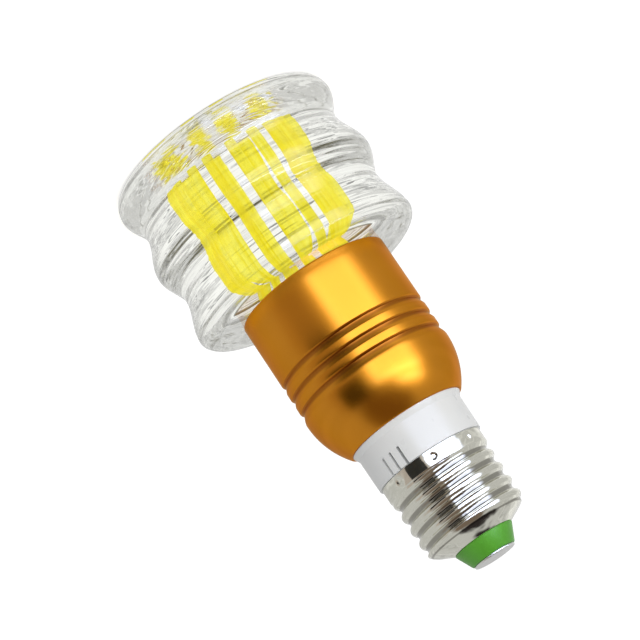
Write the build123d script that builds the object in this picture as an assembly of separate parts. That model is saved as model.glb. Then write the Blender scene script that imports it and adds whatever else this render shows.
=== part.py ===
from build123d import *
import math
import os

# Colour changing LED bulb, standing on the flat end of its clear head with the screw cap up.
# Millimetres. Z runs along the bulb's axis from the clear end face to the end contact.

# Clear head, turned from one block: heights above the end face and radii of its waves
crystal_length = 41.6
end_flat_radius = 26.6
end_bulge_height = 3.75
end_bulge_radius = 29.2
first_neck_height = 10.7
first_neck_radius = 26.6
middle_bulge_height = 20.4
middle_bulge_radius = 29.5
second_neck_height = 28.4
second_neck_radius = 26.9
rim_bulge_depth = 3.1
rim_bulge_radius = 29.4
under_flat_radius = 25.0
spigot_length = 3.5

# Yellow rods bonded into blind holes of the clear head, unevenly round their ring
rod_front_angles = (194.0, 212.2, 234.2, 260.4, 288.0, 308.4, 336.1)
rod_back_angles = (352.0, 33.5, 53.8, 81.3, 104.1, 135.4, 168.3)
rod_radius = 1.02
rod_ring_radius = 10.78
rod_end_cover = 4.0
rod_fit = 0.03

# Gold housing: turned cup with three grooves and a bowl towards the cap
housing_length = 39.7
housing_radius = 19.2
mouth_wall = 1.9
cavity_wall = 3.3
rim_round = 0.5
groove_count = 3
groove_pitch = 3.9
groove_depth = 0.75
groove_step = 0.5
groove_slope = 1.7
groove_land = 0.8
bowl_radius = 19.4
bowl_length = 12.4
bowl_end_radius = 15.1
opening_radius = 12.5
opening_length = 3.4
opening_ledge = 1.2
cavity_cone_length = 7.0

# Light engine in the housing's mouth
fit_gap = 0.1
led_gap = 0.3
led_height = 2.6
led_base_radius = 3.6
led_base_height = 1.3
led_lens_radius = 2.7
led_count = 3
led_ring_radius = 7.5
led_first_angle = 30.0
led_board_margin = 2.0
led_board_thickness = 1.6
thermal_pad_thickness = 0.3
heat_plate_thickness = 3.0
screw_count = 3
screw_first_angle = 90.0
screw_ring_radius = 11.0
screw_radius = 1.2
screw_head_radius = 2.2
screw_head_height = 1.5
screw_bite = 2.5
screw_recess_width = 0.6
screw_recess_length = 2.6
screw_recess_depth = 0.7
screw_fit = 0.02
screw_hole_play = 0.25
wire_slot_play = 0.5

# White collar
collar_length = 10.2
collar_flange_radius = 14.6
collar_chamfer = 1.5
collar_radius = 13.8
collar_end_radius = 13.7
plug_length = 5.0
snap_bead = 0.5
snap_bead_length = 1.1
spigot_wall = 1.5
collar_spigot_length = 12.0
board_groove_depth = 0.7
board_stop = 1.5
slot_count = 3
slot_pitch_angle = 10.3
slot_first_angle = 290.0
slot_width = 0.7
slot_depth = 2.0
slot_length = 4.6

# E27 screw shell: knuckle thread rolled into thin sheet
thread_major = 26.1
thread_minor = 24.2
thread_pitch = 3.629
thread_land = 0.04
thread_start = 1.7
thread_start_angle = 88.0
thread_foot_angle = 8.0
shell_length = 21.6
shell_wall = 0.3
skirt_radius = 13.2
skirt_length = 3.4
skirt_slope = 1.2
nose_length = 4.4
nose_radius = 7.7
nose_slope = 35.0
shell_hole_radius = 6.6

# Tip
insulator_height = 4.4
insulator_top_radius = 5.6
insulator_plug_length = 2.6
insulator_bead = 0.5
insulator_bead_length = 1.2
contact_radius = 5.3
contact_rim = 0.5
contact_dome = 0.5
stem_radius = 1.6
rivet_radius = 2.4
rivet_thickness = 0.5

# Driver: an upright board with its parts, its liner and its leads
liner_wall = 0.8
liner_length = 16.5
board_thickness = 1.2
board_plate_gap = 3.5
part_seat = 0.05
transformer_width = 10.4
transformer_depth = 9.0
transformer_height = 10.6
transformer_core_depth = 5.0
transformer_yoke = 2.1
transformer_round = 1.8
transformer_margin = 3.0
bulk_capacitor_radius = 3.15
bulk_capacitor_length = 11.0
bulk_capacitor_stop = 4.5
output_capacitor_radius = 2.5
output_capacitor_length = 9.0
output_capacitor_offset = 8.4
capacitor_bevel = 0.4
capacitor_crimp = 0.35
capacitor_crimp_height = 1.4
lead_radius = 0.3
lead_pitch = 2.0
lead_reach = 0.9
rectifier_width = 4.8
rectifier_depth = 2.4
rectifier_height = 4.0
rectifier_stop = 8.0
rectifier_side_legs = 2
chip_width = 5.0
chip_depth = 1.5
chip_height = 4.0
chip_margin = 5.5
chip_side_legs = 4
leg_width = 0.5
leg_thickness = 0.25
leg_reach = 0.8
fuse_radius = 1.3
fuse_length = 7.0
fuse_bevel = 0.4
fuse_offset = 6.3
fuse_stop = 9.0
fuse_seat = 0.4
wire_radius = 0.6
wire_offset = 5.0
wire_solder_length = 7.0
wire_straight = 3.5
wire_bend_share = 0.45
led_wire_radius = 0.45
led_wire_count = 4
led_wire_pitch = 2.8
led_wire_solder_length = 4.0
led_wire_end = 0.7

# Levels along the axis
rim_bulge_height = crystal_length - rim_bulge_depth
spigot_level = crystal_length + spigot_length
led_level = spigot_level + led_gap
led_board_level = led_level + led_height
pad_level = led_board_level + led_board_thickness
plate_level = pad_level + thermal_pad_thickness
shoulder_level = plate_level + heat_plate_thickness
collar_level = crystal_length + housing_length
bowl_level = collar_level - bowl_length
opening_level = collar_level - opening_length
plug_level = collar_level - plug_length
shell_level = collar_level + collar_length
spigot_end_level = shell_level + collar_spigot_length
tip_level = shell_level + shell_length
nose_level = tip_level - nose_length
contact_level = tip_level + insulator_height
rivet_level = tip_level - insulator_plug_length - rivet_thickness
board_level = shoulder_level + board_plate_gap
board_end_level = shell_level - board_stop - fit_gap

# Radii and offsets that follow from the fits
mouth_radius = housing_radius - mouth_wall
cavity_radius = housing_radius - cavity_wall
led_board_radius = mouth_radius - led_board_margin
thread_crest = thread_major / 2
thread_root = thread_minor / 2
shell_bore = thread_root - shell_wall
spigot_radius = shell_bore - fit_gap
collar_bore = spigot_radius - spigot_wall
board_half_width = collar_bore + board_groove_depth - fit_gap
board_face = board_thickness / 2
led_wire_line = -board_face - part_seat - led_wire_radius


def at(radius, height):
    return (radius, 0, height)


def turned(*lines):
    return revolve(make_face([edge for line in lines for edge in line.edges()]), Axis.Z)


def turned_polygon(*corners):
    return turned(Polyline(*[at(*corner) for corner in corners], close=True))


def post(low, high, radius):
    return Pos(0, 0, low) * Cylinder(radius, high - low, align=(Align.CENTER, Align.CENTER, Align.MIN))


def block(low, high):
    size = [b - a for a, b in zip(low, high)]
    return Pos(*low) * Box(*size, align=(Align.MIN, Align.MIN, Align.MIN))


def bent_wire(radius, *points):
    # Each bend is as wide as its two runs allow
    bends = []
    corners = [Vector(*point) for point in points]
    for before, corner, after in zip(corners, corners[1:], corners[2:]):
        turn = math.radians((corner - before).get_angle(after - corner))
        run = min((corner - before).length, (after - corner).length)
        bends.append(wire_bend_share * run / math.tan(turn / 2))
    path = FilletPolyline(*points, radius=bends)
    start = Plane(origin=path @ 0, z_dir=path % 0)
    return sweep(start * Circle(radius), path=path)


def rod_places():
    angles = rod_front_angles + rod_back_angles
    return [Rot(0, 0, angle) * Pos(rod_ring_radius, 0, 0) for angle in angles]


def crystal_head():
    waves = Spline(
        at(end_flat_radius, 0),
        at(end_bulge_radius, end_bulge_height),
        at(first_neck_radius, first_neck_height),
        at(middle_bulge_radius, middle_bulge_height),
        at(second_neck_radius, second_neck_height),
        at(rim_bulge_radius, rim_bulge_height),
        at(under_flat_radius, crystal_length),
        tangents=[at(1, 0), *[at(0, 1)] * 5, at(-1, 0)],
    )
    seat_radius = mouth_radius - fit_gap
    back = Polyline(
        at(under_flat_radius, crystal_length),
        at(seat_radius, crystal_length),
        at(seat_radius, spigot_level),
        at(0, spigot_level),
        at(0, 0),
        at(end_flat_radius, 0),
    )
    hole = post(rod_end_cover, spigot_level, rod_radius + rod_fit)
    return turned(waves, back) - [place * hole for place in rod_places()]


def colour_rods():
    rod = post(rod_end_cover, spigot_level, rod_radius)
    return Part() + [place * rod for place in rod_places()]


def housing():
    rim_level = crystal_length + rim_round
    rim_middle = rim_round * (1 - math.sqrt(0.5))
    skin = [at(housing_radius, rim_level)]
    last_step = bowl_level - groove_land - groove_slope - groove_step
    for i in reversed(range(groove_count)):
        step = last_step - i * groove_pitch
        floor = step + groove_step
        skin += [at(housing_radius, step), at(housing_radius - groove_depth, floor)]
        skin += [at(housing_radius, floor + groove_slope)]
    skin += [at(bowl_radius, bowl_level)]
    bowl_drop = bowl_radius - bowl_end_radius
    bowl_curve = (bowl_length**2 + bowl_drop**2) / (2 * bowl_drop)
    half_turn = math.asin(bowl_length / bowl_curve) / 2
    bowl_middle = at(
        bowl_radius - bowl_curve * (1 - math.cos(half_turn)),
        bowl_level + bowl_curve * math.sin(half_turn),
    )
    return turned(
        Polyline(*skin),
        ThreePointArc(skin[-1], bowl_middle, at(bowl_end_radius, collar_level)),
        Polyline(
            at(bowl_end_radius, collar_level),
            at(opening_radius, collar_level),
            at(opening_radius, opening_level),
            at(opening_radius + opening_ledge, opening_level),
            at(cavity_radius, opening_level - cavity_cone_length),
            at(cavity_radius, shoulder_level),
            at(mouth_radius, shoulder_level),
            at(mouth_radius, crystal_length),
            at(housing_radius - rim_round, crystal_length),
        ),
        ThreePointArc(
            at(housing_radius - rim_round, crystal_length),
            at(housing_radius - rim_middle, crystal_length + rim_middle),
            at(housing_radius, rim_level),
        ),
    )


def screw_places():
    return PolarLocations(screw_ring_radius, screw_count, start_angle=screw_first_angle)


def mouth_disc(radius, low, high, hole_radius):
    # Disc with the screw holes and a passage for the leads
    passage_width = 2 * (led_wire_radius + wire_slot_play)
    passage_length = (led_wire_count - 1) * led_wire_pitch + passage_width
    outline = SlotOverall(passage_length, passage_width)
    passage = extrude(Pos(0, led_wire_line, low) * outline, high - low)
    hole = post(low, high, hole_radius)
    return post(low, high, radius) - passage - [place * hole for place in screw_places()]


def heat_plate():
    return mouth_disc(mouth_radius - fit_gap, plate_level, shoulder_level, screw_radius + screw_fit)


def thermal_pad():
    return mouth_disc(led_board_radius, pad_level, plate_level, screw_radius + screw_hole_play)


def led_board():
    return mouth_disc(led_board_radius, led_board_level, pad_level, screw_radius + screw_hole_play)


def led(index):
    # Emitter with a low lens, light side towards the clear head
    base_level = led_board_level - led_base_height
    lens_height = led_height - led_base_height
    ball = (led_lens_radius**2 + lens_height**2) / (2 * lens_height)
    lens = Pos(0, 0, led_level + ball) * Sphere(ball) & post(led_level, base_level, led_lens_radius)
    emitter = post(base_level, led_board_level, led_base_radius) + lens
    return Rot(0, 0, led_first_angle + index * 360 / led_count) * Pos(led_ring_radius, 0, 0) * emitter


def board_screws():
    head_level = led_board_level - screw_head_height
    half_length, half_width = screw_recess_length / 2, screw_recess_width / 2
    bar = block(
        (-half_length, -half_width, head_level),
        (half_length, half_width, head_level + screw_recess_depth),
    )
    head = post(head_level, led_board_level, screw_head_radius) - bar - Rot(0, 0, 90) * bar
    screw = head + post(led_board_level, plate_level + screw_bite, screw_radius)
    return Part() + [place * screw for place in screw_places()]


def led_wires():
    wire = post(led_board_level - led_wire_end, board_level + led_wire_solder_length, led_wire_radius)
    first = -(led_wire_count - 1) / 2 * led_wire_pitch
    offsets = [first + i * led_wire_pitch for i in range(led_wire_count)]
    return Part() + [Pos(offset, led_wire_line, 0) * wire for offset in offsets]


def driver_liner():
    outside = cavity_radius - fit_gap
    ends = (shoulder_level, shoulder_level + liner_length)
    return post(*ends, outside) - post(*ends, outside - liner_wall)


def collar():
    plug_radius = opening_radius - fit_gap
    bead_radius = opening_radius + snap_bead
    bead_end = opening_level - fit_gap
    seat_radius = skirt_radius - shell_wall - fit_gap
    seat_end = shell_level + skirt_length - shell_wall - fit_gap
    body = turned_polygon(
        (collar_bore, plug_level),
        (plug_radius, plug_level),
        (plug_radius, bead_end - snap_bead_length),
        (bead_radius, bead_end - snap_bead_length + snap_bead),
        (bead_radius, bead_end),
        (plug_radius, bead_end),
        (plug_radius, collar_level),
        (collar_flange_radius, collar_level),
        (collar_radius, collar_level + collar_chamfer),
        (collar_end_radius, shell_level),
        (seat_radius, shell_level),
        (seat_radius, seat_end),
        (spigot_radius, seat_end + skirt_slope),
        (spigot_radius, spigot_end_level),
        (collar_bore, spigot_end_level),
    )
    guide_reach = collar_bore + board_groove_depth
    guide_half = board_face + fit_gap
    guide = block(
        (-guide_reach, -guide_half, plug_level),
        (guide_reach, guide_half, shell_level - board_stop),
    )
    slot = block(
        (collar_end_radius - slot_depth, -slot_width / 2, shell_level - slot_length),
        (collar_flange_radius, slot_width / 2, shell_level),
    )
    angles = [slot_first_angle + i * slot_pitch_angle for i in range(slot_count)]
    slots = [Rot(0, 0, angle + side) * slot for side in (0, 180) for angle in angles]
    return body - guide - slots


def thread_section():
    # Axial section of the ridge: a round crest that runs into a hollow at each flank, all of one radius
    depth = thread_crest - thread_root
    half_pitch = thread_pitch / 2
    knuckle = (half_pitch**2 + depth**2) / (4 * depth)
    joint_turn = 2 * math.atan2(depth, half_pitch)
    foot_turn = math.radians(thread_foot_angle)

    def flank(turn):
        return thread_root + knuckle * (1 - math.cos(turn)), half_pitch - knuckle * math.sin(turn)

    joint, joint_side = flank(joint_turn)
    hollow, hollow_side = flank((joint_turn + foot_turn) / 2)
    foot, foot_side = flank(foot_turn)
    floor = shell_bore - shell_wall
    lines = [
        ThreePointArc(at(joint, -joint_side), at(thread_crest, 0), at(joint, joint_side)),
        ThreePointArc(at(joint, joint_side), at(hollow, hollow_side), at(foot, foot_side)),
        Polyline(at(foot, foot_side), at(floor, foot_side), at(floor, -foot_side), at(foot, -foot_side)),
        ThreePointArc(at(foot, -foot_side), at(hollow, -hollow_side), at(joint, -joint_side)),
    ]
    return make_face([edge for line in lines for edge in line.edges()])


def cap_envelope(inset):
    # Straight cap with a rounded nose, drawn in by the sheet's thickness for the inside
    wide = skirt_radius + shell_wall
    start = at(thread_crest - inset, nose_level - inset)
    end = at(nose_radius - inset, tip_level - inset)
    lean = math.radians(nose_slope)
    nose = Spline(start, end, tangents=[at(0, 1), at(-math.cos(lean), math.sin(lean))])
    sides = Polyline(
        end,
        at(0, tip_level - inset),
        at(0, shell_level - inset),
        at(wide, shell_level - inset),
        at(wide, nose_level - inset),
        start,
    )
    return turned(nose, sides)


def stepped_post(skirt, skirt_end, core):
    beyond = tip_level + nose_length
    return turned_polygon(
        (0, shell_level),
        (skirt, shell_level),
        (skirt, skirt_end),
        (core, skirt_end + skirt_slope),
        (core, beyond),
        (0, beyond),
    )


def screw_shell():
    skirt_end = shell_level + skirt_length
    blank = stepped_post(skirt_radius, skirt_end, thread_root + thread_land)
    hollow = stepped_post(skirt_radius - shell_wall, skirt_end - shell_wall, shell_bore)
    path = Helix(thread_pitch, shell_length - thread_start + thread_pitch / 2, thread_root)
    ridge = sweep(thread_section(), path=path, is_frenet=True)
    ridge = Pos(0, 0, shell_level + thread_start) * Rot(0, 0, thread_start_angle) * ridge
    sheet = (blank + ridge) & cap_envelope(0)
    sheet -= hollow & cap_envelope(shell_wall)
    return sheet - post(nose_level, tip_level, shell_hole_radius)


def tip_insulator():
    plug_radius = shell_hole_radius - fit_gap
    bead_radius = shell_hole_radius + insulator_bead
    bead_top = tip_level - shell_wall - fit_gap
    plug_end = tip_level - insulator_plug_length
    bore = stem_radius + fit_gap
    return turned_polygon(
        (bore, plug_end),
        (plug_radius, plug_end),
        (plug_radius, bead_top - insulator_bead_length),
        (bead_radius, bead_top - insulator_bead_length + insulator_bead),
        (bead_radius, bead_top),
        (plug_radius, bead_top),
        (plug_radius, tip_level),
        (nose_radius, tip_level),
        (insulator_top_radius, contact_level),
        (bore, contact_level),
    )


def centre_contact():
    # Domed button with a stem riveted under the insulator
    rim_level = contact_level + contact_rim
    top = rim_level + contact_dome
    dome = (contact_radius**2 + contact_dome**2) / (2 * contact_dome)
    half_turn = math.asin(contact_radius / dome) / 2
    return turned(
        Polyline(
            at(0, top),
            at(0, rivet_level),
            at(rivet_radius, rivet_level),
            at(rivet_radius, rivet_level + rivet_thickness),
            at(stem_radius, rivet_level + rivet_thickness),
            at(stem_radius, contact_level),
            at(contact_radius, contact_level),
            at(contact_radius, rim_level),
        ),
        ThreePointArc(
            at(contact_radius, rim_level),
            at(dome * math.sin(half_turn), top - dome * (1 - math.cos(half_turn))),
            at(0, top),
        ),
    )


def driver_board():
    return block(
        (-board_half_width, -board_face, board_level),
        (board_half_width, board_face, board_end_level),
    )


def transformer():
    # Wound bobbin in a closed ferrite frame
    low = board_level + transformer_margin
    high = low + transformer_height
    near = board_face + part_seat
    core_near = near + (transformer_depth - transformer_core_depth) / 2
    half_width = transformer_width / 2
    core = block((-half_width, core_near, low), (half_width, core_near + transformer_core_depth, high))
    half_winding = half_width - transformer_yoke / 2
    winding = block(
        (-half_winding, near, low + transformer_yoke),
        (half_winding, near + transformer_depth, high - transformer_yoke),
    )
    return core + fillet(winding.edges().filter_by(Axis.Z), transformer_round)


def capacitor(radius, length, low):
    # Can lying along the board, crimped at its lead end, with both leads bent into the board
    drop = part_seat + radius
    crimp = low + capacitor_crimp_height
    can = turned_polygon(
        (0, low),
        (radius - capacitor_bevel, low),
        (radius, low + capacitor_bevel),
        (radius, crimp - capacitor_crimp),
        (radius - capacitor_crimp, crimp),
        (radius, crimp + capacitor_crimp),
        (radius, low + length - capacitor_bevel),
        (radius - capacitor_bevel, low + length),
        (0, low + length),
    )
    bend = low - lead_reach
    along = post(bend - lead_radius, low, lead_radius)
    down = Pos(0, 0, bend) * Rot(90, 0, 0) * post(0, drop, lead_radius)
    sides = (-lead_pitch / 2, lead_pitch / 2)
    leads = [Pos(side, 0, 0) * (along + down) for side in sides]
    return Pos(0, board_face + drop, 0) * (can + leads)


def bulk_capacitor():
    low = board_end_level - bulk_capacitor_stop - bulk_capacitor_length
    return Rot(0, 0, 180) * capacitor(bulk_capacitor_radius, bulk_capacitor_length, low)


def output_capacitor():
    low = board_level + transformer_margin
    can = capacitor(output_capacitor_radius, output_capacitor_length, low)
    return Pos(output_capacitor_offset, 0, 0) * can


def legged_chip(width, depth, height, legs, low):
    # Moulded body flat on the board's front, with bent legs at two sides
    stand = board_face + leg_thickness
    shoulder = stand + depth / 2
    tip = width / 2 + leg_reach
    parts = [block((-width / 2, stand, low), (width / 2, stand + depth, low + height))]
    for i in range(legs):
        z = low + height * (i + 0.5) / legs - leg_width / 2
        arm = block((-tip, shoulder, z), (tip, shoulder + leg_thickness, z + leg_width))
        foot = block((tip - leg_thickness, board_face, z), (tip, shoulder, z + leg_width))
        parts += [arm, foot, mirror(foot, Plane.YZ)]
    return Part() + parts


def rectifier():
    low = board_end_level - rectifier_stop - rectifier_height
    return legged_chip(rectifier_width, rectifier_depth, rectifier_height, rectifier_side_legs, low)


def control_chip():
    low = board_level + chip_margin
    return Rot(0, 0, 180) * legged_chip(chip_width, chip_depth, chip_height, chip_side_legs, low)


def fuse_resistor():
    low = board_end_level - fuse_stop - fuse_length
    high = low + fuse_length
    drop = fuse_seat + fuse_radius
    body = chamfer(post(low, high, fuse_radius).edges().filter_by(GeomType.CIRCLE), fuse_bevel)
    lead_ends = (low - lead_reach, high + lead_reach)
    lead = post(lead_ends[0] - lead_radius, lead_ends[1] + lead_radius, lead_radius)
    downs = [Pos(0, 0, end) * Rot(-90, 0, 0) * post(0, drop, lead_radius) for end in lead_ends]
    return Pos(fuse_offset, -board_face - drop, 0) * (body + lead + downs)


def live_wire():
    y = board_face + part_seat + wire_radius
    return bent_wire(
        wire_radius,
        (wire_offset, y, board_end_level - wire_solder_length),
        (wire_offset, y, board_end_level + wire_straight),
        (0, 0, rivet_level - wire_straight),
        (0, 0, rivet_level),
    )


def neutral_wire():
    y = board_face + part_seat + wire_radius
    spigot_x = collar_bore - 2 * wire_radius - fit_gap
    shell_x = shell_bore - wire_radius - fit_gap
    return bent_wire(
        wire_radius,
        (-wire_offset, y, board_end_level - wire_solder_length),
        (-wire_offset, y, board_end_level + wire_straight),
        (-spigot_x, y, spigot_end_level),
        (-shell_x, 0, nose_level - fit_gap),
    )


pieces = {
    "crystal_head": crystal_head(),
    "colour_rods": colour_rods(),
    "housing": housing(),
    "heat_plate": heat_plate(),
    "thermal_pad": thermal_pad(),
    "led_board": led_board(),
    "led_red": led(0),
    "led_green": led(1),
    "led_blue": led(2),
    "board_screws": board_screws(),
    "led_wires": led_wires(),
    "driver_liner": driver_liner(),
    "driver_board": driver_board(),
    "transformer": transformer(),
    "bulk_capacitor": bulk_capacitor(),
    "output_capacitor": output_capacitor(),
    "rectifier": rectifier(),
    "control_chip": control_chip(),
    "fuse_resistor": fuse_resistor(),
    "live_wire": live_wire(),
    "neutral_wire": neutral_wire(),
    "collar": collar(),
    "screw_shell": screw_shell(),
    "tip_insulator": tip_insulator(),
    "centre_contact": centre_contact(),
}

os.makedirs("parts", exist_ok=True)
for name, piece in pieces.items():
    export_step(piece, f"parts/{name}.step")
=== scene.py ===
import math

import bpy
from mathutils import Matrix, Vector, noise as fractal


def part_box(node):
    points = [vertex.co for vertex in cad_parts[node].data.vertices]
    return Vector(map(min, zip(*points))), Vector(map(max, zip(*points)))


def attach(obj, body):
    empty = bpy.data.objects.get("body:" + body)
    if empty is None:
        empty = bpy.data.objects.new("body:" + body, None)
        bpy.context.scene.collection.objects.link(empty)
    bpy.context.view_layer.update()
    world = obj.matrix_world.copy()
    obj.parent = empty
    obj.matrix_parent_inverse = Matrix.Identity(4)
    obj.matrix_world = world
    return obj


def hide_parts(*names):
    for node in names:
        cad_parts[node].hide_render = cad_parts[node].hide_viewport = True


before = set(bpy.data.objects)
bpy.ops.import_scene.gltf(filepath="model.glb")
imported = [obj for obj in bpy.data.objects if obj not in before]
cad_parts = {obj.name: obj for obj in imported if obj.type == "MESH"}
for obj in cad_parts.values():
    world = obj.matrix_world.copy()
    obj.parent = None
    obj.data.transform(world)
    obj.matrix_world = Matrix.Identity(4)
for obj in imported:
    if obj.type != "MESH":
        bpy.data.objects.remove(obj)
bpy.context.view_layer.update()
mm = 0.001
print("frame loaded:", len(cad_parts), "nodes")


# shader maths as plain arithmetic
class Wire:
    def __init__(self, tree, socket=None):
        self.tree = tree
        self.socket = socket

    def node(self, kind, settings, inputs, output=0):
        made = self.tree.nodes.new("ShaderNode" + kind)
        for key, value in settings.items():
            setattr(made, key, value)
        for key, value in inputs.items():
            if isinstance(value, Wire):
                self.tree.links.new(value.socket, made.inputs[key])
            else:
                made.inputs[key].default_value = value
        return Wire(self.tree, made.outputs[output] if made.outputs else None)

    def maths(self, operation, *values):
        return self.node("Math", {"operation": operation}, dict(enumerate(values)))

    def __add__(self, other):
        return self.maths("ADD", self, other)

    def __radd__(self, other):
        return self.maths("ADD", other, self)

    def __sub__(self, other):
        return self.maths("SUBTRACT", self, other)

    def __rsub__(self, other):
        return self.maths("SUBTRACT", other, self)

    def __mul__(self, other):
        return self.maths("MULTIPLY", self, other)

    def __rmul__(self, other):
        return self.maths("MULTIPLY", other, self)


smooth = {"interpolation_type": "SMOOTHSTEP"}


def rgba(colour):
    return (*colour, 1.0)


def startMaterial(name, fixed):
    # a Principled shader with its even values set, and a wire to build on
    material = bpy.data.materials.new(name)
    material.use_nodes = True
    shader = material.node_tree.nodes["Principled BSDF"]
    for key, value in fixed.items():
        shader.inputs[key].default_value = value
    return material, shader, Wire(material.node_tree)


def feed(shader, **values):
    for key, value in values.items():
        shader.id_data.links.new(value.socket, shader.inputs[key])


def placeOn(wire):
    # place on the piece in millimetres
    here = wire.node("TexCoord", {}, {}, "Object")
    return wire.node("VectorMath", {"operation": "SCALE"}, {"Vector": here, "Scale": 1 / mm})


def heightAndRadius(wire, place):
    x, y, z = [wire.node("SeparateXYZ", {}, {"Vector": place}, axis) for axis in "XYZ"]
    return z, wire.maths("SQRT", x * x + y * y)


def noise(wire, place, scale, detail=2.0, roughness=0.5):
    inputs = {"Vector": place, "Scale": scale, "Detail": detail, "Roughness": roughness}
    return wire.node("TexNoise", {}, inputs)


def lines(wire, along, detail=2.0):
    # one-dimensional noise: even along each line, changing from line to line
    inputs = {"W": along, "Scale": 1.0, "Detail": detail}
    return wire.node("TexNoise", {"noise_dimensions": "1D"}, inputs)


def blendColour(wire, factor, first, second):
    inputs = {"Factor": factor, 6: first, 7: second}
    return wire.node("Mix", {"data_type": "RGBA"}, inputs, 2)


def rise(wire, value, at, soft):
    # 0 below and 1 above, with a soft step
    ends = {"From Min": at - soft / 2, "From Max": at + soft / 2}
    return wire.node("MapRange", smooth, {"Value": value, **ends})


def between(wire, value, low, high, soft):
    return rise(wire, value, low, soft) * (1 - rise(wire, value, high, soft))


def bump(wire, height, strength, depth):
    return wire.node("Bump", {}, {"Height": height, "Strength": strength, "Distance": depth * mm})


def cloudyMaterial(name, fixed, finish):
    # two close tones in clouds, and a fine grain
    material, shader, wire = startMaterial(name, fixed)
    place = placeOn(wire)
    cloud = noise(wire, place, *finish["clouds"])
    grain = noise(wire, place, *finish["grain"])
    plainRoughness, cloudRoughness = finish["roughness"]
    first, second = finish["tones"]
    feed(
        shader,
        **{"Base Color": blendColour(wire, cloud, rgba(first), rgba(second))},
        Roughness=plainRoughness + cloud * cloudRoughness,
        Normal=bump(wire, grain, *finish["bump"]),
    )
    return material


# turning a piece: an outline of (radius, height) in millimetres is drawn, spun and closed
def turnPiece(name, outline, steps):
    bpy.ops.object.select_all(action="DESELECT")
    bpy.ops.mesh.primitive_plane_add(size=mm, location=(0, 0, 0))
    piece = bpy.context.object
    piece.name = piece.data.name = name
    bpy.ops.object.mode_set(mode="EDIT")
    bpy.ops.mesh.select_all(action="SELECT")
    bpy.ops.mesh.merge(type="CENTER")
    last = Vector((0, 0, 0))
    for number, (radius, height) in enumerate(outline):
        point = Vector((radius, 0, height)) * mm
        if number == 0:
            bpy.ops.transform.translate(value=point - last)
        else:
            bpy.ops.mesh.extrude_region_move(TRANSFORM_OT_translate={"value": point - last})
        last = point
    bpy.ops.mesh.select_all(action="SELECT")
    bpy.ops.mesh.spin(steps=steps, angle=math.tau, center=(0, 0, 0), axis=(0, 0, 1))
    bpy.ops.mesh.select_all(action="SELECT")
    bpy.ops.mesh.remove_doubles(threshold=0.001 * mm)
    bpy.ops.mesh.normals_make_consistent(inside=False)
    bpy.ops.object.mode_set(mode="OBJECT")
    return piece


def useModifier(piece, kind, **settings):
    bpy.ops.object.select_all(action="DESELECT")
    bpy.context.view_layer.objects.active = piece
    piece.select_set(True)
    bpy.ops.object.modifier_add(type=kind)
    modifier = piece.modifiers[-1]
    for key, value in settings.items():
        setattr(modifier, key, value)
    bpy.ops.object.modifier_apply(modifier=modifier.name)


def softenEdges(piece, width, segments=3, angle=35):
    limit = {"limit_method": "ANGLE", "angle_limit": math.radians(angle)}
    useModifier(piece, "BEVEL", width=width * mm, segments=segments, **limit)


def finishPiece(piece, material, node, smoothAngle=40):
    bpy.ops.object.select_all(action="DESELECT")
    bpy.context.view_layer.objects.active = piece
    piece.select_set(True)
    bpy.ops.object.shade_smooth_by_angle(angle=math.radians(smoothAngle))
    piece.data.materials.clear()
    piece.data.materials.append(material)
    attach(piece, "root")
    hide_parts(node)
    print("made", piece.name, "with", len(piece.data.polygons), "faces")


def arc(start, end, startSlope, endSlope, count):
    # cubic curve between two outline points with a direction at each end
    reach = math.dist(start, end)
    points = []
    for i in range(1, count + 1):
        t = i / count
        near = 2 * t**3 - 3 * t**2 + 1
        leaving = (t**3 - 2 * t**2 + t) * reach
        arriving = (t**3 - t**2) * reach
        points.append(tuple(
            near * start[k] + leaving * startSlope[k] + (1 - near) * end[k] + arriving * endSlope[k]
            for k in (0, 1)
        ))
    return points


def levels(node):
    low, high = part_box(node)
    return low.z / mm, high.z / mm


outward, inward, upward = (1, 0), (-1, 0), (0, 1)
hairGap = 0.02  # keeps faces that touch from lying in one plane


# clear head
crystal = {
    "endFlat": 26.6,
    "waves": [(29.2, 3.75), (26.6, 10.7), (29.5, 20.4), (26.9, 28.4), (29.4, 38.5)],
    "underside": (25.0, 41.6),
    "spigot": 17.2,
    "edgePoints": 24,
    "wavePoints": 60,
    "edge": 0.25,
    "steps": 224,
    # turned rings: a second, finer set runs out of step with the first
    "ringPitch": 1.3,
    "ringDepth": 0.005,
    "fineShare": 0.6,
    "fineRatio": 1.618,
    "fineStart": 1.0,
    # tool marks along the rings
    "markPitch": 0.8,
    "markLength": 11.0,
    "markDepth": 0.03,
    # finish
    "refraction": 1.49,
    "clear": (0.97, 0.975, 0.92),
    "endHeight": 0.1,
    "swirlPitch": 1.8,
    "swirl": 0.5,
    "hollows": 4.0,
    "hollowNoise": (0.22, 1.0),
    "endBump": (1.0, 0.05),
    "haze": (0.05, 0.12),
    "hazeScale": 0.3,
    "rimHeight": 0.4,
    "rimWidth": 0.4,
    # painted reflection: dark rings on the end face and a dark band at the rim
    "lines": (15.5, 18.0, 22.0, 24.5),
    "lineWidth": 0.3,
    "paintedLineShade": (0.10, 0.09, 0.04),
    "paintedLineDarkness": 0.42,
}


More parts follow.
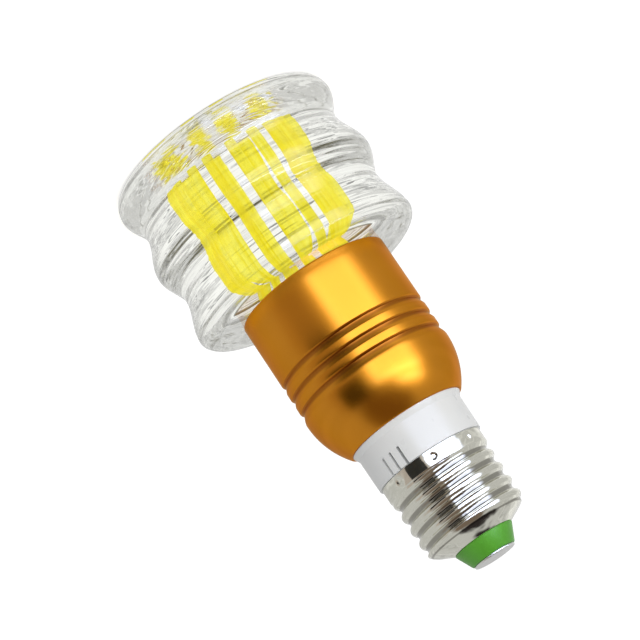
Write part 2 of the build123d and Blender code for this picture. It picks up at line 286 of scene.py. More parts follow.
def crystalMaterial():
    fixed = {"IOR": crystal["refraction"], "Transmission Weight": 1.0}
    material, shader, wire = startMaterial("clearAcrylic", fixed)
    place = placeOn(wire)
    height, radius = heightAndRadius(wire, place)
    onEnd = wire.maths("LESS_THAN", height, crystal["endHeight"])
    swirl = wire.maths("SINE", radius * (math.tau / crystal["swirlPitch"])) * crystal["swirl"]
    uneven = swirl + noise(wire, place, *crystal["hollowNoise"]) * crystal["hollows"]
    # painted dark lines at the rim and on the end face, a painted reflection of dark rings
    low = wire.maths("LESS_THAN", height, crystal["rimHeight"])
    turned = low * wire.maths("GREATER_THAN", radius, crystal["endFlat"] - crystal["rimWidth"])
    half = crystal["lineWidth"] / 2
    for middle in crystal["lines"]:
        turned = turned + onEnd * between(wire, radius, middle - half, middle + half, half)
    plainHaze, cloudHaze = crystal["haze"]
    feed(
        shader,
        **{"Base Color": blendColour(wire, turned, rgba(crystal["clear"]), rgba(crystal["paintedLineShade"]))},
        Metallic=turned * crystal["paintedLineDarkness"],
        Roughness=onEnd * (plainHaze + cloudHaze * noise(wire, place, crystal["hazeScale"])),
        Normal=bump(wire, uneven * onEnd, *crystal["endBump"]),
    )
    return material


def makeCrystal():
    top = levels("crystal_head")[1]
    under = (crystal["underside"][0], crystal["underside"][1] - hairGap)
    waves = crystal["waves"]
    side = arc((crystal["endFlat"], 0), waves[0], outward, upward, crystal["edgePoints"])
    for low, high in zip(waves, waves[1:]):
        side += arc(low, high, upward, upward, crystal["wavePoints"])
    side += arc(waves[-1], under, upward, inward, crystal["edgePoints"])
    outline = [(0, 0), (crystal["endFlat"] / 2, 0), (crystal["endFlat"], 0)]
    for radius, height in side[:-1]:
        turns = math.tau * height / crystal["ringPitch"]
        fine = math.sin(crystal["fineRatio"] * turns + crystal["fineStart"])
        ripple = math.sin(turns) + crystal["fineShare"] * fine
        outline.append((radius + crystal["ringDepth"] * ripple, height))
    outline += [side[-1], (crystal["spigot"], under[1]), (crystal["spigot"], top), (0, top)]
    piece = turnPiece("crystalHead", outline, crystal["steps"])
    softenEdges(piece, crystal["edge"])
    for vertex in piece.data.vertices:
        x, y, z = vertex.co / mm
        radius = math.hypot(x, y)
        if radius > crystal["endFlat"] and z < under[1] - crystal["edge"]:
            where = Vector((x / crystal["markLength"], y / crystal["markLength"], z / crystal["markPitch"]))
            growth = 1 + crystal["markDepth"] * fractal.noise(where) / radius
            vertex.co.x *= growth
            vertex.co.y *= growth
    finishPiece(piece, crystalMaterial(), "crystal_head")


makeCrystal()


# yellow rods in the clear head
rods = {
    "angles": [33.5, 53.8, 81.3, 104.1, 135.4, 168.3, 194.0, 212.2, 234.2, 260.4, 288.0, 308.4, 336.1, 352.0],
    "radius": 1.02,
    "ring": 10.78,
    "endGap": 0.08,
    "endRound": 0.35,
    "endSegments": 4,
    "sides": 32,
    # finish: light is coloured but hardly bent at a rod's skin, as it is bonded into the clear block
    "refraction": 1.02,
    "clearness": 0.75,
    # painted glow: the rods give off light of their own colour, though they are no lamp
    "glow": 0.15,
    "streakScale": (1.6, 1.6, 0.05),
    "streaks": {"From Min": 0.35, "From Max": 0.65},
    "deep": (0.90, 0.80, 0.03),
    "pale": (0.97, 0.94, 0.18),
}


def rodMaterial():
    fixed = {
        "Roughness": 0.0,
        "IOR": rods["refraction"],
        "Transmission Weight": rods["clearness"],
        "Emission Strength": rods["glow"],
    }
    material, shader, wire = startMaterial("yellowAcrylic", fixed)
    drawn = {"operation": "MULTIPLY"}
    along = wire.node("VectorMath", drawn, {0: placeOn(wire), 1: rods["streakScale"]})
    streaks = wire.node("MapRange", {}, {"Value": noise(wire, along, 1.0), **rods["streaks"]})
    colour = blendColour(wire, streaks, rgba(rods["deep"]), rgba(rods["pale"]))
    # the rod colour also feeds the painted glow
    feed(shader, **{"Base Color": colour, "Emission Color": colour})
    return material


def makeRods():
    low, high = levels("colour_rods")
    high -= rods["endGap"]
    bpy.ops.object.select_all(action="DESELECT")
    bpy.ops.mesh.primitive_cylinder_add(
        vertices=rods["sides"], radius=rods["radius"] * mm, depth=(high - low) * mm,
        location=(rods["ring"] * mm, 0, (low + high) / 2 * mm),
    )
    first = bpy.context.object
    first.name = first.data.name = "colourRods"
    bpy.ops.object.transform_apply(location=True, rotation=True, scale=True)
    softenEdges(first, rods["endRound"], rods["endSegments"])
    copies = [first]
    while len(copies) < len(rods["angles"]):
        copy = first.copy()
        copy.data = first.data.copy()
        bpy.context.collection.objects.link(copy)
        copies.append(copy)
    for copy, angle in zip(copies, rods["angles"]):
        copy.rotation_euler.z = math.radians(angle)
        copy.select_set(True)
    bpy.context.view_layer.objects.active = first
    bpy.ops.object.transform_apply(location=True, rotation=True, scale=True)
    bpy.ops.object.join()
    finishPiece(first, rodMaterial(), "colour_rods")


makeRods()


# gold housing
housing = {
    "radius": 19.2,
    "mouth": 17.3,
    "shoulder": 52.9,
    "cavity": 15.9,
    "rimRound": 0.5,
    "rimPoints": 8,
    "grooveCount": 3,
    "groovePitch": 3.9,
    "grooveDepth": 0.75,
    "grooveStep": 0.5,
    "grooveSlope": 1.7,
    "grooveLand": 0.8,
    "bowlRadius": 19.4,
    "bowlLength": 12.4,
    "bowlEnd": 15.1,
    "bowlPoints": 32,
    "opening": 12.5,
    "openingLength": 3.4,
    "ledge": 1.2,
    "cone": 7.0,
    "edge": 0.12,
    "edgeSegments": 2,
    "edgeAngle": 18,
    "steps": 256,
    # finish: dyed outside with painted shade in the grooves, bare in the bore, with a thin lacquer
    "dyes": ((0.64, 0.24, 0.009), (0.69, 0.265, 0.014)),
    # painted shade: the darker colour in the grooves and the depths it reaches
    "paintedGrooveShade": (0.42, 0.14, 0.008),
    "grooveShadeDepths": (1.0, 0.35),
    "grooveShadeSoft": 0.3,
    "bare": (0.80, 0.80, 0.79),
    "boreMargin": 0.2,
    "edgeTint": (0.78, 0.50, 0.16),
    "lacquer": {"Coat Weight": 0.14, "Coat IOR": 1.7, "Coat Roughness": 0.2},
    "clouds": (0.08, 3.0),
    "turnedPerMm": 7.0,
    "turnedAcross": 0.8,
    "roughness": 0.26,
    "turnedRoughness": 0.02,
    "cloudRoughness": 0.03,
    "bump": (0.012, 0.02),
}


def goldMaterial():
    fixed = {"Metallic": 1.0, "Specular Tint": rgba(housing["edgeTint"]), **housing["lacquer"]}
    material, shader, wire = startMaterial("goldAnodised", fixed)
    place = placeOn(wire)
    height, radius = heightAndRadius(wire, place)
    cloud = noise(wire, place, *housing["clouds"])
    turned = lines(wire, (height + radius * housing["turnedAcross"]) * housing["turnedPerMm"])
    first, second = housing["dyes"]
    dyed = blendColour(wire, cloud, rgba(first), rgba(second))
    # painted shade: a darker colour in the groove floors, where shade falls
    floor, lip = [housing["radius"] - depth for depth in housing["grooveShadeDepths"]]
    shadeInGroove = between(wire, radius, floor, lip, housing["grooveShadeSoft"])
    shadeInGroove = shadeInGroove * wire.maths("LESS_THAN", height, levels("housing")[1] - housing["bowlLength"])
    dyed = blendColour(wire, shadeInGroove, dyed, rgba(housing["paintedGrooveShade"]))
    bore = wire.maths("LESS_THAN", radius, housing["mouth"] + housing["boreMargin"])
    bore = bore * wire.maths("LESS_THAN", height, housing["shoulder"] + housing["boreMargin"])
    worn = turned * housing["turnedRoughness"] + cloud * housing["cloudRoughness"]
    feed(
        shader,
        **{"Base Color": blendColour(wire, bore, dyed, rgba(housing["bare"]))},
        Roughness=housing["roughness"] + worn,
        Normal=bump(wire, turned, *housing["bump"]),
    )
    return material


def makeHousing():
    low, high = levels("housing")
    low += hairGap
    wall, rimRound = housing["radius"], housing["rimRound"]
    outline = [(wall - rimRound, low)]
    outline += arc(outline[-1], (wall, low + rimRound), outward, upward, housing["rimPoints"])
    bowl = high - housing["bowlLength"]
    lastStep = bowl - housing["grooveLand"] - housing["grooveSlope"] - housing["grooveStep"]
    for i in reversed(range(housing["grooveCount"])):
        step = lastStep - i * housing["groovePitch"]
        floor = step + housing["grooveStep"]
        outline += [
            (wall, step),
            (wall - housing["grooveDepth"], floor),
            (wall, floor + housing["grooveSlope"]),
        ]
    drop = housing["bowlRadius"] - housing["bowlEnd"]
    curve = (housing["bowlLength"] ** 2 + drop**2) / (2 * drop)
    turn = math.asin(housing["bowlLength"] / curve)
    for i in range(housing["bowlPoints"] + 1):
        a = turn * i / housing["bowlPoints"]
        outline.append((housing["bowlRadius"] - curve * (1 - math.cos(a)), bowl + curve * math.sin(a)))
    inside = high - housing["openingLength"]
    outline += [
        (housing["opening"], high),
        (housing["opening"], inside),
        (housing["opening"] + housing["ledge"], inside),
        (housing["cavity"], inside - housing["cone"]),
        (housing["cavity"], housing["shoulder"]),
        (housing["mouth"], housing["shoulder"]),
        (housing["mouth"], low),
        outline[0],
    ]
    piece = turnPiece("goldHousing", outline, housing["steps"])
    softenEdges(piece, housing["edge"], housing["edgeSegments"], housing["edgeAngle"])
    finishPiece(piece, goldMaterial(), "housing")


makeHousing()


# white collar
collar = {
    "flange": 14.6,
    "chamfer": 1.5,
    "radius": 13.8,
    "endRadius": 13.7,
    "shellGap": 0.16,
    "plug": 12.4,
    "spigot": 11.7,
    "bore": 10.2,
    "seat": 12.8,
    "seatLength": 3.0,
    "seatSlope": 1.2,
    "slotAngles": [290.0, 300.3, 310.6, 110.0, 120.3, 130.6],
    "slotWidth": 0.7,
    "slotDepth": 2.0,
    "slotLength": 4.6,
    "edge": 0.15,
    "smoothAngle": 20,
    "steps": 192,
    "fixed": {"IOR": 1.5},
    "finish": {
        "tones": ((0.77, 0.78, 0.775), (0.82, 0.83, 0.825)),
        "clouds": (0.25, 3.0),
        "grain": (2.5, 2.0),
        "roughness": (0.24, 0.10),
        "bump": (0.05, 0.02),
    },
}


def makeCollar():
    low, high = levels("collar")
    start = levels("housing")[1] + hairGap
    end = levels("screw_shell")[0] - collar["shellGap"]
    outline = [
        (collar["bore"], low),
        (collar["plug"], low),
        (collar["plug"], start),
        (collar["flange"], start),
        (collar["radius"], start + collar["chamfer"]),
        (collar["endRadius"], end),
        (collar["seat"], end),
        (collar["seat"], end + collar["seatLength"]),
        (collar["spigot"], end + collar["seatLength"] + collar["seatSlope"]),
        (collar["spigot"], high),
        (collar["bore"], high),
        (collar["bore"], low),
    ]
    piece = turnPiece("whiteCollar", outline, collar["steps"])
    softenEdges(piece, collar["edge"])
    reach = collar["flange"] - collar["endRadius"] + collar["slotDepth"]
    middle = collar["endRadius"] - collar["slotDepth"] + reach / 2
    for slotAngle in collar["slotAngles"]:
        a = math.radians(slotAngle)
        place = Vector((middle * math.cos(a), middle * math.sin(a), end - collar["slotLength"] / 2))
        bpy.ops.object.select_all(action="DESELECT")
        bpy.ops.mesh.primitive_cube_add(
            size=mm, location=place * mm, rotation=(0, 0, a),
            scale=(reach, collar["slotWidth"], collar["slotLength"]),
        )
        cutter = bpy.context.object
        useModifier(piece, "BOOLEAN", object=cutter, operation="DIFFERENCE", solver="EXACT")
        bpy.data.objects.remove(cutter)
    material = cloudyMaterial("whitePlastic", collar["fixed"], collar["finish"])
    finishPiece(piece, material, "collar", collar["smoothAngle"])


makeCollar()


# screw shell with its rolled thread
shell = {
    "root": 12.1,
    "crest": 13.05,
    "pitch": 3.629,
    "threadStart": 1.7,
    "threadAngle": 88.0,
    "skirt": 13.2,
    "skirtLength": 3.4,
    "skirtSlope": 1.2,
    "wall": 0.3,
    "sidePoints": 132,
    "noseLength": 4.4,
    "noseRadius": 7.7,
    "noseSlope": 35.0,
    "nosePoints": 40,
    "hole": 6.6,
    "dentCount": 8,
    "dentAngle": 266.0,
    "dentHeight": 1.7,
    "dentSize": 0.7,
    "dentDepth": 0.5,
    "steps": 288,
    # finish: bright plating with painted shade in the thread's root, on slightly wavy sheet
    "tones": ((0.69, 0.685, 0.60), (0.78, 0.77, 0.68)),
    # painted shade: a darker colour in the thread's root and the band it covers
    "paintedRootShade": (0.34, 0.33, 0.285),
    "rootShadeBand": (-0.2, 0.17),
    "rootShadeSoft": 0.2,
    "clouds": (0.3, 4.0),
    "scuffs": (4.0, 3.0, 0.7),
    "waves": (0.3, 1.0),
    "roughness": 0.06,
    "cloudRoughness": 0.05,
    "scuffRoughness": 0.03,
    "scuffDepth": 0.004,
    "bump": (1.0, 0.22),
}


def nickelMaterial():
    material, shader, wire = startMaterial("nickelPlate", {"Metallic": 1.0})
    place = placeOn(wire)
    radius = heightAndRadius(wire, place)[1]
    cloud = noise(wire, place, *shell["clouds"])
    scuffs = noise(wire, place, *shell["scuffs"])
    waves = noise(wire, place, *shell["waves"])
    first, second = shell["tones"]
    colour = blendColour(wire, cloud, rgba(first), rgba(second))
    # painted shade: a darker band in the thread's root, where shade falls
    low, high = [shell["root"] + offset for offset in shell["rootShadeBand"]]
    shadeInRoot = between(wire, radius, low, high, shell["rootShadeSoft"])
    colour = blendColour(wire, shadeInRoot, colour, rgba(shell["paintedRootShade"]))
    worn = cloud * shell["cloudRoughness"] + scuffs * shell["scuffRoughness"]
    feed(
        shader,
        **{"Base Color": colour, "Roughness": shell["roughness"] + worn},
        Normal=bump(wire, waves + scuffs * shell["scuffDepth"], *shell["bump"]),
    )
    return material


def knuckle(distance):
    # height of the thread above its root, this far along the axis from the crest
    half = shell["pitch"] / 2
    depth = shell["crest"] - shell["root"]
    curve = (half**2 + depth**2) / (4 * depth)
    if distance < half / 2:
        return depth - curve + math.sqrt(curve**2 - distance**2)
    return curve - math.sqrt(curve**2 - (half - distance) ** 2)


def shellRadius(radius, height, angle):
    # the blank's radius at this height, with the thread and the crimped dents
    turned = (angle - math.radians(shell["threadAngle"])) / math.tau
    turns = (height - shell["threadStart"]) / shell["pitch"] - turned
    distance = abs(turns - round(turns)) * shell["pitch"]
    thread = shell["root"] + knuckle(distance)
    past = height - shell["skirtLength"]
    blank = shell["skirt"] - max(0.0, min(past / shell["skirtSlope"], 1.0)) * (shell["skirt"] - shell["root"])
    radius = min(radius, max(thread, blank))
    step = math.tau / shell["dentCount"]
    off = (angle - math.radians(shell["dentAngle"]) + step / 2) % step - step / 2
    apart = math.hypot(off * radius, height - shell["dentHeight"])
    return radius - shell["dentDepth"] * math.exp(-((apart / shell["dentSize"]) ** 2))


def makeShell():
    low, high = levels("screw_shell")
    lean = math.radians(shell["noseSlope"])
    nose = high - shell["noseLength"]
    wall = shell["wall"]
    threadLevel = shell["skirtLength"] + shell["skirtSlope"]
    outline = []
    for i in range(shell["sidePoints"] + 1):
        z = low + (nose - low) * i / shell["sidePoints"]
        outline.append((shell["skirt"] if z - low < threadLevel else shell["crest"], z))
    noseEnd = (-math.cos(lean), math.sin(lean))
    outline += arc(outline[-1], (shell["noseRadius"], high), upward, noseEnd, shell["nosePoints"])
    outer = len(outline)
    bore = shell["root"] - wall
    outline += [
        (shell["hole"], high),
        (shell["hole"], high - wall),
        (shell["noseRadius"], high - wall),
        (bore, nose),
        (bore, low + threadLevel),
        (shell["skirt"] - wall, low + shell["skirtLength"] - wall),
        (shell["skirt"] - wall, low),
        outline[0],
    ]
    piece = turnPiece("screwShell", outline, shell["steps"])
    inner = {round(z, 3): r for r, z in outline[outer:-1]}
    for vertex in piece.data.vertices:
        x, y, z = vertex.co / mm
        radius = math.hypot(x, y)
        level = round(z, 3)
        if level in inner and abs(inner[level] - radius) < wall / 2:
            continue
        wanted = shellRadius(radius, z - low, math.atan2(y, x))
        vertex.co.x *= wanted / radius
        vertex.co.y *= wanted / radius
    finishPiece(piece, nickelMaterial(), "screw_shell")


makeShell()


# green insulator
tip = {
    "nose": 7.7,
    "top": 5.6,
    "plug": 6.5,
    "bore": 1.7,
    "edge": 0.3,
    "steps": 128,
    "fixed": {"IOR": 1.5},
    "finish": {
        "tones": ((0.068, 0.31, 0.015), (0.095, 0.38, 0.023)),
        "clouds": (0.4, 3.0),
        "grain": (5.0, 2.0),
        "roughness": (0.32, 0.15),
        "bump": (0.08, 0.02),
    },
}


def makeInsulator():
    low, high = levels("tip_insulator")
    seat = levels("screw_shell")[1] + hairGap
    outline = [
        (tip["bore"], low),
        (tip["plug"], low),
        (tip["plug"], seat),
        (tip["nose"], seat),
        (tip["top"], high),
        (tip["bore"], high),
        (tip["bore"], low),
    ]
    piece = turnPiece("tipInsulator", outline, tip["steps"])
    softenEdges(piece, tip["edge"])
    material = cloudyMaterial("greenInsulator", tip["fixed"], tip["finish"])
    finishPiece(piece, material, "tip_insulator")


makeInsulator()


# end contact with its rivet stem
contact = {
    "radius": 5.3,
    "rim": 0.5,
    "stem": 1.6,
    "rivet": 2.4,
    "rivetThickness": 0.5,
    "domeSlope": (-0.98, 0.2),
    "domePoints": 10,
    "edge": 0.2,
    "steps": 128,
    "fixed": {"Metallic": 1.0},
    "finish": {
        "tones": ((0.74, 0.74, 0.72), (0.88, 0.88, 0.86)),
        "clouds": (0.6, 4.0),
        "grain": (6.0, 3.0, 0.7),
        "roughness": (0.35, 0.15),
        "bump": (0.08, 0.03),
    },
}


def makeContact():
    low, high = levels("centre_contact")
    seat = levels("tip_insulator")[1] + hairGap
    outline = [
        (0, low),
        (contact["rivet"], low),
        (contact["rivet"], low + contact["rivetThickness"]),
        (contact["stem"], low + contact["rivetThickness"]),
        (contact["stem"], seat),
        (contact["radius"], seat),
        (contact["radius"], seat + contact["rim"]),
    ]
    outline += arc(outline[-1], (0, high), contact["domeSlope"], inward, contact["domePoints"])
    piece = turnPiece("centreContact", outline, contact["steps"])
    softenEdges(piece, contact["edge"])
    material = cloudyMaterial("contactMetal", contact["fixed"], contact["finish"])
    finishPiece(piece, material, "centre_contact")


makeContact()


# parts inside the housing keep their solids and get a finish each
innerFinish = {
    "heat_plate": {"colour": (0.70, 0.70, 0.72), "metal": 1.0, "rough": 0.32},
    "thermal_pad": {"colour": (0.30, 0.31, 0.33), "metal": 0.0, "rough": 0.7},
    "led_board": {"colour": (0.82, 0.82, 0.80), "metal": 0.0, "rough": 0.4},
    "led_red": {"colour": (0.74, 0.40, 0.36), "metal": 0.0, "rough": 0.15},
    "led_green": {"colour": (0.45, 0.66, 0.46), "metal": 0.0, "rough": 0.15},
    "led_blue": {"colour": (0.42, 0.50, 0.74), "metal": 0.0, "rough": 0.15},
    "board_screws": {"colour": (0.66, 0.66, 0.66), "metal": 1.0, "rough": 0.3},
    "led_wires": {"colour": (0.55, 0.03, 0.03), "metal": 0.0, "rough": 0.4},
    "driver_liner": {"colour": (0.78, 0.78, 0.75), "metal": 0.0, "rough": 0.5},
    "driver_board": {"colour": (0.03, 0.16, 0.06), "metal": 0.0, "rough": 0.4},
    "transformer": {"colour": (0.05, 0.05, 0.055), "metal": 0.0, "rough": 0.55},
    "bulk_capacitor": {"colour": (0.02, 0.025, 0.05), "metal": 0.0, "rough": 0.3},
    "output_capacitor": {"colour": (0.02, 0.025, 0.05), "metal": 0.0, "rough": 0.3},
    "rectifier": {"colour": (0.02, 0.02, 0.02), "metal": 0.0, "rough": 0.5},
    "control_chip": {"colour": (0.02, 0.02, 0.02), "metal": 0.0, "rough": 0.5},
    "fuse_resistor": {"colour": (0.10, 0.24, 0.34), "metal": 0.0, "rough": 0.45},
    "live_wire": {"colour": (0.55, 0.03, 0.03), "metal": 0.0, "rough": 0.4},
    "neutral_wire": {"colour": (0.02, 0.02, 0.02), "metal": 0.0, "rough": 0.4},
}
innerDetail = {"darker": 0.85, "smoother": 0.05, "roughChange": 0.1}
innerGrain = {"clouds": (0.5, 3.0), "grain": (4.0, 2.0), "bump": (0.1, 0.02)}


def innerMaterial(node, finish):
    darker = [innerDetail["darker"] * part for part in finish["colour"]]
    roughness = (finish["rough"] - innerDetail["smoother"], innerDetail["roughChange"])
    detail = {"tones": (darker, finish["colour"]), "roughness": roughness, **innerGrain}
    return cloudyMaterial(node + "Finish", {"Metallic": finish["metal"]}, detail)


for node, finish in innerFinish.items():
    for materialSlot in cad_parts[node].material_slots:
        materialSlot.link = "OBJECT"
        materialSlot.material = innerMaterial(node, finish)
print("finished", len(innerFinish), "inner parts")


# pale floor, seen as white, that keeps a soft shadow
floor = {"size": 12.0, "drop": 0.05, "glow": 0.72, "colour": (0.8, 0.8, 0.8)}


def makeFloor():
    bpy.ops.object.select_all(action="DESELECT")
    bpy.ops.mesh.primitive_plane_add(size=floor["size"], location=(0, 0, -floor["drop"] * mm))
    plane = bpy.context.object
    plane.name = "floor"
    material = bpy.data.materials.new("paleFloor")
    material.use_nodes = True
    tree = material.node_tree
    tree.nodes.clear()
    wire = Wire(tree)
    seen = wire.node("LightPath", {}, {}, "Is Camera Ray")
    matt = wire.node("BsdfDiffuse", {}, {"Color": rgba(floor["colour"])})
    glow = wire.node("Emission", {}, {"Color": rgba((1, 1, 1)), "Strength": floor["glow"]})
    both = wire.node("AddShader", {}, {0: matt, 1: glow})
    mixed = wire.node("MixShader", {}, {0: seen, 1: matt, 2: both})
    wire.node("OutputMaterial", {}, {"Surface": mixed})
    plane.data.materials.append(material)
    plane.visible_glossy = False
    plane.visible_transmission = False


makeFloor()


# dark card beside the cap, seen only in the metal
card = {
    "azimuth": 33.0,
    "distance": 90.0,
    "height": 81.0,
    "size": 60.0,
    "tall": 0.72,
    "colour": (0.02, 0.02, 0.018),
}


def makeCard():
    a = math.radians(card["azimuth"])
    place = Vector((math.sin(a) * card["distance"], -math.cos(a) * card["distance"], card["height"])) * mm
    bpy.ops.object.select_all(action="DESELECT")
    bpy.ops.mesh.primitive_plane_add(size=card["size"] * mm, location=place, rotation=(math.pi / 2, 0, a))
    plane = bpy.context.object
    plane.name = "darkCard"
    plane.scale.y = card["tall"]
    material = bpy.data.materials.new("blackPaper")
    material.use_nodes = True
    shader = material.node_tree.nodes["Principled BSDF"]
    shader.inputs["Base Color"].default_value = rgba(card["colour"])
    plane.data.materials.append(material)
    plane.visible_camera = plane.visible_diffuse = plane.visible_transmission = plane.visible_shadow = False


makeCard()


# soft studio light: a pale room and one softbox light the bulb, and the metal mirrors
# a bright panel with two tubes, a dim strip and a few cards. Angles are in degrees.
studio = {
    "room": 0.75,
    "overhead": {"From Min": 0.1, "From Max": 0.9, "To Min": 1.0, "To Max": 0.5},
    # seen in the clear head: pale, darker behind it, with fine veins
    "roomInGlass": 1.03,
    "behind": {"From Min": 0.6, "From Max": -0.3, "To Min": 1.0, "To Max": 0.7},
    "veins": {"From Min": 0.38, "From Max": 0.52, "To Min": 0.3, "To Max": 1.0},
    "veinScale": 0.22,
    "veinDetail": 3.0,
    # seen in the metal: a lined wall and soft round cards
    "roomInMetal": 0.64,
    "wallLineScale": 0.3,
    "wallLineTop": 45.0,
    "wallLineSoft": 20.0,
    "shade": {"azimuth": 42, "elevation": -6, "spread": 30, "dark": (0.16, 0.26, 0.32)},
    "flag": {"azimuth": 8, "elevation": 46, "spread": 34, "colour": (0.20, 0.15, 0.115)},
    "table": {"azimuth": 0, "elevation": -64, "spread": 36, "dark": (0.82, 0.83, 0.84)},
    "ceiling": {"azimuth": -135, "elevation": 81, "spread": 20, "dark": (0.95, 0.96, 0.96)},
    "cardEdge": 0.25,
    "strip": 0.15,
    "stripAzimuth": (21.0, 56.0, 6.0),
    "stripElevation": (-42.0, 60.0, 20.0),
    "back": 0.4,
    "backAzimuth": (-172.0, -136.0, 16.0),
    # bright panel, with a softer left edge, brighter borders and two tubes
    "panel": 1.9,
    "panelTint": (1.0, 1.12, 1.6),
    "panelLeft": (-65.0, 24.0),
    "panelRight": (5.0, 7.0),
    "panelElevation": (-38.0, 31.0, 12.0),
    "panelEdge": 0.6,
    "panelEdgeWidth": 14.0,
    "panelEdgeSoft": 10.0,
    "tube": 9.0,
    "tubeElevations": (12.0, 26.0),
    "tubeWidth": 1.8,
    "tubeSoft": 1.5,
    # softbox, in metres
    "boxAzimuth": -28.0,
    "boxElevation": 6.0,
    "boxDistance": 1.0,
    "boxAim": 0.06,
    "boxWidth": 1.25,
    "boxHeight": 1.0,
    "boxBrightness": 2.1,
}


def directionAt(azimuth, elevation):
    # azimuth from the camera's side, towards +X
    a, e = math.radians(azimuth), math.radians(elevation)
    return Vector((math.sin(a) * math.cos(e), -math.cos(a) * math.cos(e), math.sin(e)))


def times(wire, colour, other):
    return wire.node("VectorMath", {"operation": "MULTIPLY"}, {0: colour, 1: other})


def brighter(wire, colour, amount):
    return wire.node("VectorMath", {"operation": "SCALE"}, {"Vector": colour, "Scale": amount})


def covered(wire, direction, name):
    # how far this direction lies behind a card
    middle = directionAt(studio[name]["azimuth"], studio[name]["elevation"])
    near = wire.node("VectorMath", {"operation": "DOT_PRODUCT"}, {0: direction, 1: middle}, "Value")
    spread, edge = math.radians(studio[name]["spread"]), studio["cardEdge"]
    ends = {"From Min": math.cos((1 + edge) * spread), "From Max": math.cos((1 - edge) * spread)}
    return wire.node("MapRange", smooth, {"Value": near, **ends})


def shaded(wire, direction, name):
    left = [1 - part for part in studio[name]["dark"]]
    return blendColour(wire, covered(wire, direction, name), rgba((1, 1, 1)), rgba(left))


def panelGlow(wire, azimuth, elevation):
    # where the panel is, and how bright
    left, leftSoft = studio["panelLeft"]
    right, rightSoft = studio["panelRight"]
    panel = rise(wire, azimuth, left, leftSoft) * (1 - rise(wire, azimuth, right, rightSoft))
    panel = panel * between(wire, elevation, *studio["panelElevation"])
    border = studio["panelEdgeWidth"]
    inner = between(wire, azimuth, left + border, right - border, studio["panelEdgeSoft"])
    glow = studio["panel"] + (1 - inner) * studio["panelEdge"]
    half = studio["tubeWidth"] / 2
    for height in studio["tubeElevations"]:
        tube = between(wire, elevation, height - half, height + half, studio["tubeSoft"])
        glow = glow + tube * studio["tube"]
    return panel, glow


def metalView(wire, direction, azimuth, elevation):
    # what the metal mirrors
    strip = between(wire, azimuth, *studio["stripAzimuth"])
    strip = strip * between(wire, elevation, *studio["stripElevation"])
    back = between(wire, azimuth, *studio["backAzimuth"])
    back = back * between(wire, elevation, *studio["panelElevation"])
    lined = between(wire, elevation, -90.0, studio["wallLineTop"], studio["wallLineSoft"])
    pale = 2.0 * lines(wire, elevation * studio["wallLineScale"])
    wall = studio["roomInMetal"] * (1 + studio["back"] * back) * (1 - studio["strip"] * strip)
    wall = wall * (1 - lined * (1 - pale))
    wall = brighter(wire, shaded(wire, direction, "ceiling"), wall)
    for name in ("shade", "table"):
        wall = times(wire, shaded(wire, direction, name), wall)
    panel, glow = panelGlow(wire, azimuth, elevation)
    room = [studio["roomInMetal"]] * 3
    lit = wire.node("VectorMath", {}, {0: room, 1: brighter(wire, studio["panelTint"], glow)})
    seen = blendColour(wire, panel, wall, lit)
    return blendColour(wire, covered(wire, direction, "flag"), seen, rgba(studio["flag"]["colour"]))


def glassView(wire, forward, elevation):
    # what shows through the clear head
    around = wire.node("MapRange", smooth, {"Value": forward, **studio["behind"]})
    streaks = lines(wire, elevation * studio["veinScale"], studio["veinDetail"])
    veins = wire.node("MapRange", smooth, {"Value": streaks, **studio["veins"]})
    return studio["roomInGlass"] * veins * around


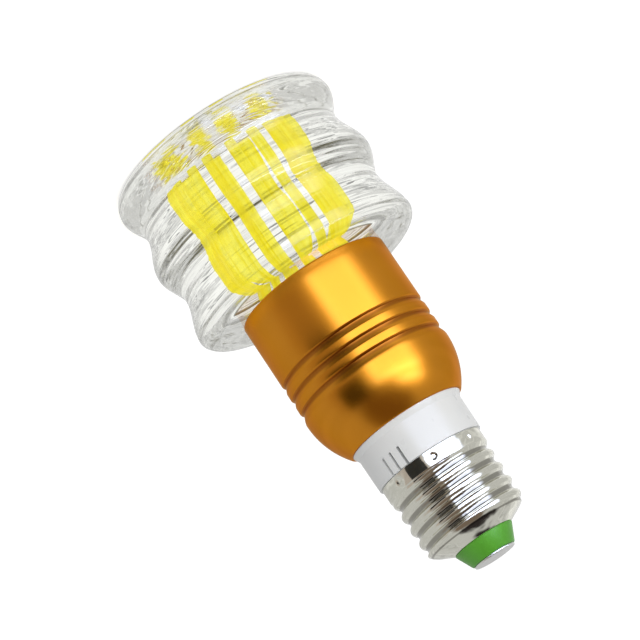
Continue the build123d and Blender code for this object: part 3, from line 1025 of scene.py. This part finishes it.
def makeWorld():
    world = bpy.data.worlds.new("studioRoom")
    bpy.context.scene.world = world
    world.use_nodes = True
    tree = world.node_tree
    tree.nodes.clear()
    wire = Wire(tree)
    camera = wire.node("LightPath", {}, {}, "Is Camera Ray")
    glossy = wire.node("LightPath", {}, {}, "Is Glossy Ray")
    glass = wire.node("LightPath", {}, {}, "Is Transmission Ray")
    metal = glossy * (1 - glass)  # a ray through glass counts as both
    direction = wire.node("TexCoord", {}, {}, "Generated")
    x, y, z = [wire.node("SeparateXYZ", {}, {"Vector": direction}, axis) for axis in "XYZ"]
    azimuth = wire.maths("ARCTAN2", x, 0 - y) * math.degrees(1)
    elevation = wire.maths("ARCSINE", z) * math.degrees(1)
    fromAbove = wire.node("MapRange", {}, {"Value": z, **studio["overhead"]})
    plain = studio["room"] * fromAbove * (1 - glossy) + glass * glassView(wire, y, elevation)
    colour = blendColour(wire, metal, plain, metalView(wire, direction, azimuth, elevation))
    colour = blendColour(wire, camera, colour, rgba((1, 1, 1)))
    background = wire.node("Background", {}, {"Color": colour})
    wire.node("OutputWorld", {}, {"Surface": background})


def makeSoftbox():
    light = bpy.data.lights.new("keySoftbox", "AREA")
    light.shape = "RECTANGLE"
    light.size = studio["boxWidth"]
    light.size_y = studio["boxHeight"]
    light.energy = studio["boxBrightness"] * math.pi * studio["boxWidth"] * studio["boxHeight"]
    lamp = bpy.data.objects.new("keySoftbox", light)
    bpy.context.collection.objects.link(lamp)
    away = directionAt(studio["boxAzimuth"], studio["boxElevation"])
    lamp.location = away * studio["boxDistance"] + Vector((0, 0, studio["boxAim"]))
    lamp.rotation_euler = away.to_track_quat("Z", "Y").to_euler()
    lamp.visible_camera = False
    lamp.visible_glossy = False
    lamp.visible_transmission = False


makeWorld()
makeSoftbox()
print("lit the studio")


# camera at the photograph's angle, turned so that the bulb lies across the picture
view = {
    "tilt": 13.7,
    "turn": 33.8,
    "aim": 49.5,
    "sideways": 3.2,
    "distance": 589.8,
    "focalPixels": 2537,
    "framePixels": 640,
    "nearest": 0.01,
    "bounces": 48,
}


def makeCamera():
    data = bpy.data.cameras.new("photoCamera")
    data.sensor_fit = "HORIZONTAL"
    data.lens = data.sensor_width * view["focalPixels"] / view["framePixels"]
    data.clip_start = view["nearest"]
    camera = bpy.data.objects.new("photoCamera", data)
    bpy.context.collection.objects.link(camera)
    tilt, turn = math.radians(view["tilt"]), math.radians(view["turn"])
    forward = Vector((0, math.cos(tilt), -math.sin(tilt)))
    side = Vector((-1, 0, 0))
    capward = Vector((0, math.sin(tilt), math.cos(tilt)))
    right = side * math.cos(turn) + capward * math.sin(turn)
    up = side * math.sin(turn) - capward * math.cos(turn)
    place = Vector((view["sideways"], 0, view["aim"])) * mm - forward * view["distance"] * mm
    camera.matrix_world = Matrix((right, up, -forward)).transposed().to_4x4()
    camera.location = place
    bpy.context.scene.camera = camera


makeCamera()
bpy.context.scene.view_settings.view_transform = "Standard"
for kind in ("max_bounces", "transmission_bounces", "glossy_bounces"):
    setattr(bpy.context.scene.cycles, kind, view["bounces"])
print("camera set")
